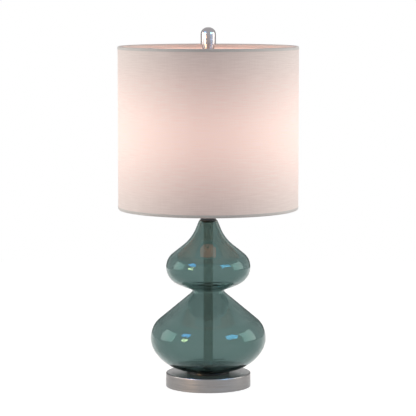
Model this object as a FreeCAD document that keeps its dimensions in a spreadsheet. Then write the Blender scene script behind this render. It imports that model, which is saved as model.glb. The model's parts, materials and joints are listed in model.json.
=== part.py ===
"""Double gourd table lamp: a glass body on a brushed disc base, with a bulb and a drum shade on a harp.

Millimetres, +Z up, +X to the right, -Y to the front. The origin is the middle of the
felt underside, where the lamp stands.
"""
import FreeCAD, Part
import math
import os
import re
import Sketcher
from FreeCAD import Placement, Rotation, Vector

# ---------------------------------------------------------------- driving sizes
SIZES = {
    # fits and clearances
    "slip_fit": 0.05,            # radial play of a piece that slides or turns on another
    "rod_gap": 0.3,              # radial play of a plain hole round the lamp rod
    "body_gap": 0.3,             # room between curved faces of pieces that come apart
    "liner_gap": 0.05,           # room between the nested sleeves of the socket
    # base: a spun disc cover over a cast weight
    "base_radius": 66.2,
    "base_height": 22.2,         # top face above the table
    "base_wall": 2.5,
    "base_edge_round": 1.8,
    "base_hem_round": 0.6,
    "rim_lift": 0.2,             # the cover's rim above the table
    "felt_thickness": 2.0,
    "felt_margin": 1.0,
    "weight_margin": 3.0,
    "nut_recess_radius": 16.0,
    "nut_recess_height": 9.0,
    "channel_width": 10.0,
    "channel_height": 11.0,
    "inlet_height": 9.0,         # middle of the cord inlet above the table
    "inlet_bore_radius": 3.3,
    "inlet_sleeve_radius": 5.0,
    "inlet_flange_radius": 6.4,
    "inlet_flange_thickness": 1.5,
    "inlet_lip_step": 0.4,       # the inner lip is this much smaller than the flange
    # lamp rod and its fasteners
    "rod_radius": 5.0,
    "rod_bore_radius": 3.5,
    "rod_chamfer": 0.6,
    "rod_foot_gap": 0.6,
    "rod_reach": 8.0,            # length inside the socket cap's collar
    "washer_radius": 13.0,
    "washer_thickness": 1.2,
    "lock_washer_radius": 8.5,
    "lock_washer_thickness": 1.6,
    "nut_flats": 16.0,           # across flats
    "nut_height": 5.0,
    # seat of the glass
    "glass_seat_radius": 33.0,
    "glass_seat_thickness": 2.6,
    "glass_seat_round": 0.6,
    "glass_seat_boss_height": 4.8,
    "gasket_thickness": 0.8,
    "gasket_overhang": 1.0,      # foot gasket beyond the flat of the glass's foot
    # blown glass body, slopes from the vertical in degrees
    "glass_wall": 4.0,
    "neck_height": 73.3,         # lip above the upper belly
    "lip_radius": 14.2,
    "neck_slope": 22.2,
    "flare_radius": 63.5,
    "upper_slope": 51.6,
    "upper_belly_radius": 65.9,
    "upper_belly_rise": 37.33,   # upper belly above the crease of the waist
    "upper_belly_round": 28.1,
    "upper_underside_round": 85.9,
    "waist_radius": 25.3,
    "waist_round": 3.2,
    "lower_slope": 50.3,
    "lower_belly_radius": 90.3,
    "lower_belly_height": 50.9,  # above the foot
    "lower_belly_round": 39.2,
    "lower_underside_round": 65.0,
    "foot_radius": 29.5,
    "foot_hole_radius": 16.0,
    # tube round the rod inside the glass
    "rod_cover_radius": 7.5,
    "rod_cover_wall": 1.0,
    # neck: cap, nut and spacer
    "cap_radius": 12.0,
    "cap_thickness": 3.5,
    "cap_edge_round": 0.8,
    "cap_boss_gap": 0.45,        # between the cap's boss and the inside of the neck
    "cap_boss_depth": 4.0,
    "cap_gasket_margin": 0.8,
    "neck_nut_height": 5.0,
    "spacer_radius": 7.5,
    "spacer_height": 10.7,
    "spacer_round": 0.6,
    # harp and its saddle
    "saddle_thickness": 2.0,
    "saddle_width": 12.0,
    "saddle_disc_radius": 11.0,
    "saddle_end": 5.5,           # strip beyond the middle of each pin
    "saddle_corner_round": 4.0,
    "harp_foot_reach": 30.0,     # each leg from the middle
    "harp_wire_radius": 2.0,
    "saddle_pin_height": 12.0,
    "harp_reach": 56.0,          # widest, to the middle of the wire
    "harp_rise": 214.0,          # from the feet to the middle of the top wire
    "harp_straight": 37.0,       # upright stretch above each foot
    "harp_lean": 20.0,           # slope of the stretch that widens
    "harp_lower_bend": 40.0,
    "harp_middle_bend": 60.0,
    "harp_corner_bend": 50.0,
    "harp_boss_radius": 7.0,
    "harp_boss_height": 6.0,
    "ferrule_radius": 4.2,
    "ferrule_height": 22.0,
    "ferrule_bead": 0.8,
    "ferrule_round": 0.3,
    # swivel seat of the shade
    "swivel_pin_radius": 2.5,
    "rivet_radius": 4.4,
    "rivet_height": 1.6,
    "rivet_gap": 0.4,
    "seat_radius": 8.5,
    "seat_waist_radius": 5.5,
    "seat_plate": 1.6,
    "seat_waist_height": 1.8,
    "stud_radius": 3.175,
    "stud_length": 18.0,
    # socket
    "collar_radius": 8.0,
    "collar_height": 8.0,
    "cap_cup_height": 12.0,
    "cap_cup_round": 3.0,
    "socket_wall": 0.8,
    "socket_shell_radius": 17.0,
    "socket_shell_height": 46.5,
    "socket_overlap": 8.0,       # depth of the shell inside the cap
    "liner_wall": 0.8,
    "liner_proud": 1.5,          # liner above the shell's rim
    "socket_block_height": 17.0,
    "block_sleeve_height": 20.0,
    "socket_floor": 1.6,
    "screw_shell_radius": 14.3,
    "screw_shell_wall": 0.4,
    "screw_shell_height": 24.0,
    "thread_depth": 0.55,
    "thread_pitch": 3.6,
    "contact_radius": 4.4,
    "contact_height": 2.2,
    "contact_round": 0.5,
    "terminal_head_radius": 2.6,
    "terminal_head_height": 1.4,
    "terminal_shank_radius": 1.4,
    "terminal_shank_length": 5.0,
    "terminal_height": 6.0,
    "terminal_room": 0.4,
    "terminals": 2,
    # rotary switch
    "switch_height": 10.0,       # stem above the socket block's underside
    "switch_stem_radius": 1.6,
    "switch_stem_depth": 9.0,
    "stem_room": 0.6,
    "knob_gap": 1.6,             # between the knob and the socket shell
    "knob_radius": 6.5,
    "knob_length": 12.0,
    "knob_grip": 8.0,            # depth of the stem inside the knob
    "knob_round": 1.2,
    "knob_flutes": 16,
    "flute_radius": 0.8,
    # bulb
    "bulb_radius": 30.0,
    "bulb_glass_height": 81.0,
    "bulb_widest_height": 40.0,  # where the pear's side would meet its widest
    "bulb_side_round": 27.0,
    "bulb_crown_round": 29.5,
    "bulb_neck_radius": 13.0,
    "bulb_neck_height": 10.0,
    "bulb_neck_bend": 30.0,
    "bulb_wall": 0.8,
    "bulb_base_height": 22.0,
    "bulb_base_wall": 0.5,
    "bulb_tip_radius": 4.6,
    "bulb_tip_height": 1.2,
    "bulb_tip_round": 0.5,
    "bulb_insulator_height": 2.2,
    "bulb_shoulder": 1.0,        # screw base beyond the insulator
    # shade
    "shade_radius": 140.0,
    "shade_height": 252.5,
    "fabric_thickness": 0.7,
    "liner_thickness": 0.6,
    "hem_height": 4.6,
    "hem_wall": 0.7,
    "hem_proud": 0.15,
    "hem_inner_height": 5.6,
    "hem_round": 0.5,
    "rim_wire_radius": 1.3,
    "shade_recess": 11.5,        # rim above the top of the fitter's hub
    "hub_radius": 11.0,
    "hub_thickness": 3.0,
    "fitter_wire_radius": 1.5,
    "fitter_arms": 3,
    # finial
    "finial_radius": 11.7,
    "finial_height": 40.7,
    "finial_dome_round": 10.8,
    "finial_edge_round": 0.5,
    "finial_collar_radius": 9.2,
    "finial_collar_height": 13.8,
    "finial_bore_spare": 2.0,
}

WORD = re.compile(r"[A-Za-z_]\w*")

doc = FreeCAD.newDocument("double_gourd_lamp")
sizes = doc.addObject("Spreadsheet::Sheet", "sizes")
for row, (size_name, amount) in enumerate(SIZES.items(), start=1):
    sizes.set(f"A{row}", size_name)
    sizes.set(f"B{row}", str(amount))
    sizes.setAlias(f"B{row}", size_name)
doc.recompute()

# ---------------------------------------------------------------- heights of the stack
# Each is a formula of sizes. The first four are measured from the glass's foot: the crease
# lies on the slope of the lower ball, where that slope has come in to the waist.
CREASE_ACROSS = "(waist_radius + waist_round)"
CREASE_HEIGHT = (
    f"(lower_belly_height + (lower_belly_round + waist_round - ({CREASE_ACROSS} - lower_belly_radius"
    " + lower_belly_round) * cos(lower_slope * 1 deg)) / sin(lower_slope * 1 deg))"
)
UPPER_BELLY_HEIGHT = f"({CREASE_HEIGHT} + upper_belly_rise)"
GLASS_HEIGHT = f"({UPPER_BELLY_HEIGHT} + neck_height)"
# The others are measured from the table.
WEIGHT_TOP = "(base_height - base_wall)"
RECESS_TOP = "(felt_thickness + nut_recess_height)"
NUT_FOOT = f"({RECESS_TOP} - washer_thickness - lock_washer_thickness - nut_height)"
ROD_FOOT = "(felt_thickness + rod_foot_gap)"
GLASS_SEAT_TOP = "(base_height + glass_seat_thickness)"
GLASS_FOOT = f"({GLASS_SEAT_TOP} + gasket_thickness)"
GLASS_LIP = f"({GLASS_FOOT} + {GLASS_HEIGHT})"
CAP_SEAT = f"({GLASS_LIP} + gasket_thickness)"
NECK_NUT_SEAT = f"({CAP_SEAT} + cap_thickness)"
SPACER_SEAT = f"({NECK_NUT_SEAT} + neck_nut_height)"
SADDLE_SEAT = f"({SPACER_SEAT} + spacer_height)"
SADDLE_TOP = f"({SADDLE_SEAT} + saddle_thickness)"
HARP_FOOT = f"({SADDLE_TOP} + saddle_pin_height)"
HARP_BOSS_TOP = f"({HARP_FOOT} + harp_rise + harp_boss_height / 2)"
SEAT_HEIGHT = "(2 * seat_plate + seat_waist_height)"
HUB_SEAT = f"({HARP_BOSS_TOP} + {SEAT_HEIGHT})"
HUB_TOP = f"({HUB_SEAT} + hub_thickness)"
SHADE_TOP = f"({HUB_TOP} + shade_recess)"
SHADE_FOOT = f"({SHADE_TOP} - shade_height)"
SOCKET_SHELL_FOOT = f"({SADDLE_TOP} + collar_height + cap_cup_height - socket_overlap)"
SOCKET_BLOCK_FOOT = f"({SOCKET_SHELL_FOOT} + socket_floor)"
SCREW_SHELL_FOOT = f"({SOCKET_BLOCK_FOOT} + socket_block_height)"
BULB_TIP = f"({SCREW_SHELL_FOOT} + contact_height)"
BULB_BASE_FOOT = f"({BULB_TIP} + bulb_tip_height + bulb_insulator_height)"
BULB_GLASS_FOOT = f"({BULB_BASE_FOOT} + bulb_base_height)"

# ---------------------------------------------------------------- radii that fits share
ROD_HOLE = "(rod_radius + rod_gap)"
ROD_THREAD = "(rod_radius + slip_fit)"
BASE_BORE = "(base_radius - base_wall)"
CAP_BOSS_RADIUS = "(lip_radius - glass_wall / cos(neck_slope * 1 deg) - cap_boss_gap)"
ROD_COVER_BORE = "(rod_cover_radius - rod_cover_wall)"
FERRULE_BORE = "(harp_wire_radius + body_gap)"
SHELL_BORE = "(socket_shell_radius - socket_wall)"
LINER_RADIUS = f"({SHELL_BORE} - liner_gap)"
LINER_BORE = f"({LINER_RADIUS} - liner_wall)"
BLOCK_RADIUS = f"({LINER_BORE} - liner_gap)"
CAP_CUP_BORE = "(socket_shell_radius + liner_gap)"
CAP_CUP_RADIUS = f"({CAP_CUP_BORE} + socket_wall)"
SCREW_SHELL_BORE = "(screw_shell_radius - screw_shell_wall)"
BULB_BASE_RADIUS = f"({SCREW_SHELL_BORE} - thread_depth - body_gap)"
TERMINAL_RECESS = "(terminal_head_height + terminal_room)"
STEM_WAY = "(switch_stem_radius + stem_room)"
KNOB_FACE = "(socket_shell_radius + knob_gap)"
FABRIC_BORE = "(shade_radius - fabric_thickness)"
SHADE_BORE = f"({FABRIC_BORE} - liner_thickness)"
HEM_RADIUS = "(shade_radius + hem_proud)"
HEM_CHANNEL = f"({HEM_RADIUS} - hem_wall)"
HEM_INNER_CHANNEL = f"({HEM_CHANNEL} - 2 * rim_wire_radius - 2 * liner_gap)"
HEM_BORE = f"({HEM_INNER_CHANNEL} - hem_wall)"
FITTER_RING_RADIUS = f"({SHADE_BORE} - liner_gap - fitter_wire_radius)"


# ---------------------------------------------------------------- formulas and sketches
def linked(formula):
    """The formula with each size name pointing at its cell of the sheet."""
    return WORD.sub(lambda word: f"sizes.{word[0]}" if word[0] in SIZES else word[0], formula)


def worth(formula):
    """The formula's number at the present sizes."""
    return float(sizes.evalExpression(linked(formula)))


def new_body(name, up="0", across="0", along="0"):
    """A body whose own origin sits at (across, along, up)."""
    body = doc.addObject("PartDesign::Body", name)
    place(body, up, across, along)
    return body


def place(piece, up="0", across="0", along="0"):
    for axis, formula in (("x", across), ("y", along), ("z", up)):
        if formula != "0":
            piece.setExpression(f"Placement.Base.{axis}", linked(formula))


def origin_part(body, role):
    return next(part for part in body.Origin.OriginFeatures if part.Role == role)


def new_sketch(body, name, plane, lift="0"):
    """An empty sketch on one of the body's own origin planes, lifted off it by a formula."""
    sketch = body.newObject("Sketcher::SketchObject", name)
    sketch.AttachmentSupport = (origin_part(body, plane), [""])
    sketch.MapMode = "FlatFace"
    if lift != "0":
        sketch.setExpression("AttachmentOffset.Base.z", linked(lift))
    return sketch


def bind(sketch, kind, *where, formula):
    """Add a constraint whose value is a formula of sizes."""
    index = sketch.addConstraint(Sketcher.Constraint(kind, *where, worth(formula)))
    sketch.setExpression(f"Constraints[{index}]", linked(formula))


def locate(sketch, item, spot, across, up):
    """Hold a point of a sketch at (across, up) from its origin."""
    for kind, axis, formula in (("DistanceX", -2, across), ("DistanceY", -1, up)):
        if formula == "0":
            sketch.addConstraint(Sketcher.Constraint("PointOnObject", item, spot, axis))
        else:
            bind(sketch, kind, -1, 1, item, spot, formula=formula)


def trace(sketch, corners, closed=True):
    """Draw straight runs through the corners (across, up), rounded where a third formula gives a radius."""
    spots = [Vector(worth(corner[0]), worth(corner[1]), 0) for corner in corners]
    count = len(corners)
    runs = count if closed else count - 1
    aims = [(spots[(index + 1) % count] - spots[index]).normalize() for index in range(runs)]
    bends = {}
    for index, corner in enumerate(corners):
        if len(corner) > 2:
            before, after = aims[index - 1], aims[index]
            turn = before.getAngle(after)
            bends[index] = worth(corner[2]) * math.tan(turn / 2)
    lines = []
    for index in range(runs):
        following = (index + 1) % count
        start = spots[index] + aims[index] * bends.get(index, 0)
        finish = spots[following] - aims[index] * bends.get(following, 0)
        lines.append(sketch.addGeometry(Part.LineSegment(start, finish)))
    for index, corner in enumerate(corners):
        if index in bends:
            round_corner(sketch, lines[index - 1], lines[index], corner, aims[index - 1], aims[index])
            continue
        if closed or index > 0:
            last = lines[index - 1]
            if closed or index < count - 1:
                sketch.addConstraint(Sketcher.Constraint("Coincident", last, 2, lines[index], 1))
            locate(sketch, last, 2, corner[0], corner[1])
        else:
            locate(sketch, lines[index], 1, corner[0], corner[1])
    return lines


def round_corner(sketch, before, after, corner, aim_in, aim_out):
    """Join two runs by a tangent arc, and keep both runs in line with the sharp corner."""
    sharp = Vector(worth(corner[0]), worth(corner[1]), 0)
    radius = worth(corner[2])
    reach = radius * math.tan(aim_in.getAngle(aim_out) / 2)
    left = aim_in.cross(aim_out).z > 0
    side = Vector(-aim_in.y, aim_in.x, 0) * (1 if left else -1)
    centre = sharp - aim_in * reach + side * radius
    ends = [sharp - aim_in * reach - centre, sharp + aim_out * reach - centre]
    if not left:
        ends.reverse()
    angles = [math.atan2(end.y, end.x) for end in ends]
    circle = Part.Circle(centre, Vector(0, 0, 1), radius)
    arc = sketch.addGeometry(Part.ArcOfCircle(circle, angles[0], angles[1]))
    guide = sketch.addGeometry(Part.Point(sharp), True)
    locate(sketch, guide, 1, corner[0], corner[1])
    first, last = (1, 2) if left else (2, 1)
    sketch.addConstraint(Sketcher.Constraint("Tangent", before, 2, arc, first))
    sketch.addConstraint(Sketcher.Constraint("Tangent", after, 1, arc, last))
    sketch.addConstraint(Sketcher.Constraint("PointOnObject", guide, 1, before))
    sketch.addConstraint(Sketcher.Constraint("PointOnObject", guide, 1, after))
    bind(sketch, "Radius", arc, formula=corner[2])


def add_circle(sketch, across, up, radius):
    circle = Part.Circle(Vector(worth(across), worth(up), 0), Vector(0, 0, 1), worth(radius))
    item = sketch.addGeometry(circle)
    if across == "0" and up == "0":
        sketch.addConstraint(Sketcher.Constraint("Coincident", item, 3, -1, 1))
    else:
        locate(sketch, item, 3, across, up)
    bind(sketch, "Radius", item, formula=radius)


# ---------------------------------------------------------------- features
def turn(body, sketch, name="turning"):
    """Turn a section on the XZ plane about the body's Z axis."""
    turning = body.newObject("PartDesign::Revolution", name)
    turning.Profile = sketch
    turning.ReferenceAxis = (sketch, ["V_Axis"])
    turning.Angle = 360
    return turning


def turned(name, corners, up="0", across="0"):
    """A lathe-turned piece from the corners (radius, height) of its section."""
    body = new_body(name, up, across)
    sketch = new_sketch(body, f"{name}_section", "XZ_Plane")
    trace(sketch, corners)
    turn(body, sketch)
    return body


def ring(name, inner, outer, thickness, up="0"):
    """A plain washer or tube."""
    return turned(name, [(inner, "0"), (outer, "0"), (outer, thickness), (inner, thickness)], up)


def pad(body, sketch, length, name="pad", both_ways=False, reverse=False):
    raised = body.newObject("PartDesign::Pad", name)
    raised.Profile = sketch
    raised.setExpression("Length", linked(length))
    raised.SideType = "Symmetric" if both_ways else "One side"
    raised.Reversed = reverse
    return raised


def cut(body, sketch, length=None, name="cut", reverse=False):
    """Cut a sketch away, either for a length or right through both ways, and check that it does."""
    doc.recompute()
    volume = body.Shape.Volume
    pocket = body.newObject("PartDesign::Pocket", name)
    pocket.Profile = sketch
    pocket.Reversed = reverse
    if length is None:
        pocket.Type = "ThroughAll"
        pocket.SideType = "Symmetric"
    else:
        pocket.setExpression("Length", linked(length))
    doc.recompute()
    if not body.Shape.Volume < volume:
        raise RuntimeError(f"{name} of {body.Name} cuts nothing")
    return pocket


def pattern(body, features, count, name):
    """Repeat features round the body's Z axis."""
    copies = body.newObject("PartDesign::PolarPattern", name)
    copies.Originals = features
    copies.Axis = (origin_part(body, "Z_Axis"), [""])
    copies.Angle = 360
    copies.setExpression("Occurrences", linked(count))
    body.Tip = copies
    return copies


def hex_nut(name, flats, height, bore, up):
    """A six-sided nut: a prism less its threaded bore."""
    prism = doc.addObject("Part::Prism", f"{name}_blank")
    prism.Polygon = 6
    prism.setExpression("Circumradius", linked(f"{flats} / 2 / cos(30 deg)"))
    prism.setExpression("Height", linked(height))
    hole = doc.addObject("Part::Cylinder", f"{name}_bore")
    hole.setExpression("Radius", linked(bore))
    hole.setExpression("Height", linked(height))
    nut = doc.addObject("Part::Cut", name)
    nut.Base = prism
    nut.Tool = hole
    place(nut, up)
    return nut


# ---------------------------------------------------------------- base
def base_shell():
    """Spun cover: a shallow cup, open below, with the rod's hole on top and the cord inlet behind."""
    top = "(base_height - rim_lift)"
    underside = "(base_height - rim_lift - base_wall)"
    body = turned("base_shell", [
        (ROD_HOLE, underside),
        (BASE_BORE, underside),
        (BASE_BORE, "0"),
        ("base_radius", "0", "base_hem_round"),
        ("base_radius", top, "base_edge_round"),
        (ROD_HOLE, top),
    ], "rim_lift")
    inlet = new_sketch(body, "inlet_hole", "XZ_Plane")
    add_circle(inlet, "0", "(inlet_height - rim_lift)", "(inlet_sleeve_radius + slip_fit)")
    cut(body, inlet, "(2 * base_radius)", "inlet")
    return body


def base_weight():
    """Cast iron disc with a recess for the rod's nut and a channel from there to the cord inlet."""
    radius = f"({BASE_BORE} - weight_margin)"
    height = f"({WEIGHT_TOP} - felt_thickness)"
    body = turned("base_weight", [
        ("nut_recess_radius", "0"),
        (radius, "0"),
        (radius, height),
        (ROD_HOLE, height),
        (ROD_HOLE, "nut_recess_height"),
        ("nut_recess_radius", "nut_recess_height"),
    ], "felt_thickness")
    channel = new_sketch(body, "channel_section", "XZ_Plane")
    trace(channel, [
        ("-channel_width / 2", "0"),
        ("channel_width / 2", "0"),
        ("channel_width / 2", "channel_height"),
        ("-channel_width / 2", "channel_height"),
    ])
    cut(body, channel, "base_radius", "channel")
    return body


def base_felt():
    """Felt disc that covers the base's underside and stands on the table."""
    radius = f"({BASE_BORE} - felt_margin)"
    return turned("base_felt", [
        ("0", "0"),
        (radius, "0"),
        (radius, "felt_thickness"),
        ("0", "felt_thickness"),
    ])


def cord_bushing():
    """Snap-in grommet of the cord inlet, turned on the hole's own axis and pointing to the rear.

    Its flat inner lip lies where the curved wall, at the lip's edge, is nearest to the axis.
    """
    flange = "inlet_flange_thickness"
    lip = "(inlet_flange_radius - inlet_lip_step)"
    lip_face = f"(sqrt({BASE_BORE}^2 - {lip}^2) - slip_fit)"
    wall_end = f"(base_radius - {lip_face} + inlet_flange_thickness)"
    end = f"({wall_end} + inlet_flange_thickness)"
    body = turned("cord_bushing", [
        ("inlet_bore_radius", "0"),
        (lip, "0"),
        (lip, flange),
        ("inlet_sleeve_radius", flange),
        ("inlet_sleeve_radius", wall_end),
        ("inlet_flange_radius", wall_end),
        ("inlet_flange_radius", end),
        ("inlet_bore_radius", end),
    ])
    body.Placement = Placement(Vector(), Rotation(Vector(1, 0, 0), -90))
    place(body, "inlet_height", along=f"({lip_face} - inlet_flange_thickness)")
    return body


# ---------------------------------------------------------------- rod and its fasteners
def threaded_rod():
    length = f"({SADDLE_TOP} + rod_reach - {ROD_FOOT})"
    return turned("threaded_rod", [
        ("rod_bore_radius", "0"),
        ("(rod_radius - rod_chamfer)", "0"),
        ("rod_radius", "rod_chamfer"),
        ("rod_radius", f"({length} - rod_chamfer)"),
        ("(rod_radius - rod_chamfer)", length),
        ("rod_bore_radius", length),
    ], ROD_FOOT)


def rod_fasteners():
    """Nut, lock washer and flat washer that draw the rod down inside the base."""
    washer_seat = f"({RECESS_TOP} - washer_thickness)"
    lock_seat = f"({washer_seat} - lock_washer_thickness)"
    return [
        ring("rod_washer", ROD_HOLE, "washer_radius", "washer_thickness", washer_seat),
        ring("rod_lock_washer", ROD_HOLE, "lock_washer_radius", "lock_washer_thickness", lock_seat),
        hex_nut("rod_nut", "nut_flats", "nut_height", ROD_THREAD, NUT_FOOT),
    ]


# ---------------------------------------------------------------- glass and what holds it
def glass_seat():
    """Turned disc under the glass; its boss centres the glass's hole and carries the rod cover."""
    boss = "(foot_hole_radius - body_gap)"
    height = "(glass_seat_thickness + glass_seat_boss_height)"
    return turned("glass_seat", [
        (ROD_HOLE, "0"),
        ("glass_seat_radius", "0"),
        ("glass_seat_radius", "glass_seat_thickness", "glass_seat_round"),
        (boss, "glass_seat_thickness"),
        (boss, height),
        (ROD_HOLE, height),
    ], "base_height")


def foot_gasket():
    outer = "(foot_radius + gasket_overhang)"
    return ring("foot_gasket", "foot_hole_radius", outer, "gasket_thickness", GLASS_SEAT_TOP)


def glass_body():
    """Blown double gourd: a turned outline of tangent arcs, hollowed from its lip and open at its foot."""
    body = new_body("glass_body", GLASS_FOOT)
    sketch = new_sketch(body, "gourd_outline", "XZ_Plane")
    draw_gourd(sketch)
    gourd = turn(body, sketch, "gourd")
    doc.recompute()
    lip = max(range(len(gourd.Shape.Faces)), key=lambda index: gourd.Shape.Faces[index].CenterOfMass.z)
    hollow = body.newObject("PartDesign::Thickness", "hollow")
    hollow.Base = (gourd, [f"Face{lip + 1}"])
    hollow.setExpression("Value", linked("glass_wall"))
    hollow.Reversed = True
    hollow.Join = "Intersection"
    hole = new_sketch(body, "foot_hole", "XY_Plane")
    add_circle(hole, "0", "0", "foot_hole_radius")
    cut(body, hole, "(2 * glass_wall)", "foot_opening", reverse=True)
    return body


def polar(centre, radius, angle):
    """The point at a distance from a centre, at an angle in degrees from +X."""
    return centre + Vector(math.cos(math.radians(angle)), math.sin(math.radians(angle)), 0) * radius


def bearing(centre, spot):
    """The angle in degrees at which a point lies from a centre."""
    return math.degrees(math.atan2(spot.y - centre.y, spot.x - centre.x))


def draw_gourd(sketch):
    """Half outline of the gourd: neck, flare, upper ball, creased waist, lower ball and foot.

    Slopes are from the vertical. Every arc meets its neighbours at a tangent.
    """
    def arc(centre, radius, start, end):
        circle = Part.Circle(centre, Vector(0, 0, 1), radius)
        return sketch.addGeometry(Part.ArcOfCircle(circle, math.radians(start), math.radians(end)))

    def run(start, end):
        return sketch.addGeometry(Part.LineSegment(start, end))

    def join(kind, first, first_end, second, second_end):
        sketch.addConstraint(Sketcher.Constraint(kind, first, first_end, second, second_end))

    neck, upper, lower = worth("neck_slope"), worth("upper_slope"), worth("lower_slope")
    upper_round, lower_round = worth("upper_belly_round"), worth("lower_belly_round")
    flare_radius, waist_round = worth("flare_radius"), worth("waist_round")
    under, bowl = worth("upper_underside_round"), worth("lower_underside_round")
    top = Vector(worth("lip_radius"), worth(GLASS_HEIGHT), 0)
    foot = Vector(worth("foot_radius"), 0, 0)
    upper_centre = Vector(worth("upper_belly_radius") - upper_round, worth(UPPER_BELLY_HEIGHT), 0)
    lower_centre = Vector(worth("lower_belly_radius") - lower_round, worth("lower_belly_height"), 0)

    # the neck's slope and the shoulder's slope cross where the flare rounds them
    shoulder = polar(upper_centre, upper_round, upper)
    down = polar(Vector(), 1, neck - 90)
    climb = polar(Vector(), 1, upper + 90)
    crossing = top + down * ((shoulder - top).cross(climb).z / down.cross(climb).z)
    reach = flare_radius * math.tan(math.radians(upper - neck) / 2)
    flare_top = crossing - down * reach
    flare_foot = crossing - climb * reach
    flare_centre = polar(flare_top, flare_radius, neck)

    # the underside spans from the crease to the upper belly
    cone = polar(lower_centre, lower_round, lower)
    slope = polar(Vector(), 1, lower)
    crease = Vector(worth(CREASE_ACROSS), worth(CREASE_HEIGHT), 0)
    under_centre = circle_meeting(upper_centre, under - upper_round, crease, under + waist_round)
    under_start, under_end = bearing(under_centre, crease), bearing(under_centre, upper_centre)
    bowl_centre = circle_meeting(lower_centre, bowl - lower_round, foot, bowl)
    bowl_start, bowl_end = bearing(bowl_centre, foot), bearing(bowl_centre, lower_centre)

    rim = run(Vector(0, top.y, 0), top)
    throat = run(flare_top, top)
    flare = arc(flare_centre, flare_radius, 180 + neck, 180 + upper)
    upper_cone = run(shoulder, flare_foot)
    upper_belly = arc(upper_centre, upper_round, under_end, upper)
    underside = arc(under_centre, under, under_start, under_end)
    waist = arc(crease, waist_round, 180 + under_start, 180 + lower)
    lower_cone = run(cone, crease - slope * waist_round)
    lower_belly = arc(lower_centre, lower_round, bowl_end, lower)
    bowl_arc = arc(bowl_centre, bowl, bowl_start, bowl_end)
    sole = run(foot, Vector())
    axis = run(Vector(), Vector(0, top.y, 0))

    join("Coincident", axis, 1, -1, 1)
    join("Coincident", axis, 2, rim, 1)
    join("Coincident", sole, 2, axis, 1)
    join("Coincident", bowl_arc, 1, sole, 1)
    join("Coincident", throat, 2, rim, 2)
    sketch.addConstraint(Sketcher.Constraint("Vertical", axis))
    sketch.addConstraint(Sketcher.Constraint("Horizontal", rim))
    join("Tangent", throat, 1, flare, 1)
    join("Tangent", upper_cone, 2, flare, 2)
    join("Tangent", upper_cone, 1, upper_belly, 2)
    join("Tangent", underside, 2, upper_belly, 1)
    join("Tangent", waist, 1, underside, 1)
    join("Tangent", lower_cone, 2, waist, 2)
    join("Tangent", lower_cone, 1, lower_belly, 2)
    join("Tangent", bowl_arc, 2, lower_belly, 1)
    locate(sketch, rim, 2, "lip_radius", GLASS_HEIGHT)
    locate(sketch, sole, 1, "foot_radius", "0")
    locate(sketch, upper_belly, 3, "(upper_belly_radius - upper_belly_round)", UPPER_BELLY_HEIGHT)
    locate(sketch, lower_belly, 3, "(lower_belly_radius - lower_belly_round)", "lower_belly_height")
    bind(sketch, "DistanceX", -1, 1, waist, 3, formula=CREASE_ACROSS)
    for item, radius in ((flare, "flare_radius"), (upper_belly, "upper_belly_round"),
                         (underside, "upper_underside_round"), (waist, "waist_round"),
                         (lower_belly, "lower_belly_round"), (bowl_arc, "lower_underside_round")):
        bind(sketch, "Radius", item, formula=radius)
    for item, name in ((throat, "neck_slope"), (upper_cone, "upper_slope"), (lower_cone, "lower_slope")):
        lean = sketch.addConstraint(Sketcher.Constraint("Angle", item, math.radians(90 + worth(name))))
        sketch.setExpression(f"Constraints[{lean}]", linked(f"(90 + {name}) * 1 deg"))


def circle_meeting(first, first_distance, second, second_distance):
    """The point at the given distances from two points, on the side towards the axis and above."""
    span = second - first
    length = span.Length
    share = (length ** 2 + first_distance ** 2 - second_distance ** 2) / (2 * length)
    rise = math.sqrt(first_distance ** 2 - share ** 2)
    across = Vector(-span.y, span.x, 0) / length
    middle = first + span * (share / length)
    return max((middle + across * rise, middle - across * rise), key=lambda spot: spot.y)


# ---------------------------------------------------------------- inside and above the glass
def rod_cover():
    """Tube that hides the rod inside the glass, from the seat's boss up to the cap's boss."""
    foot = f"({GLASS_SEAT_TOP} + glass_seat_boss_height)"
    length = f"({CAP_SEAT} - cap_boss_depth - {foot})"
    return ring("rod_cover", ROD_COVER_BORE, "rod_cover_radius", length, foot)


def top_gasket():
    inner = f"({CAP_BOSS_RADIUS} + slip_fit)"
    return ring("top_gasket", inner, "(lip_radius - cap_gasket_margin)", "gasket_thickness", GLASS_LIP)


def neck_cap():
    """Polished cap over the glass's lip, with a boss that reaches into the neck."""
    top = "(cap_boss_depth + cap_thickness)"
    return turned("neck_cap", [
        (ROD_HOLE, "0"),
        (CAP_BOSS_RADIUS, "0"),
        (CAP_BOSS_RADIUS, "cap_boss_depth"),
        ("cap_radius", "cap_boss_depth"),
        ("cap_radius", top, "cap_edge_round"),
        (ROD_HOLE, top),
    ], f"({CAP_SEAT} - cap_boss_depth)")


def neck_nut():
    return hex_nut("neck_nut", "nut_flats", "neck_nut_height", ROD_THREAD, NECK_NUT_SEAT)


def neck_spacer():
    return turned("neck_spacer", [
        (ROD_HOLE, "0"),
        ("spacer_radius", "0", "spacer_round"),
        ("spacer_radius", "spacer_height", "spacer_round"),
        (ROD_HOLE, "spacer_height"),
    ], SPACER_SEAT)


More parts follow.
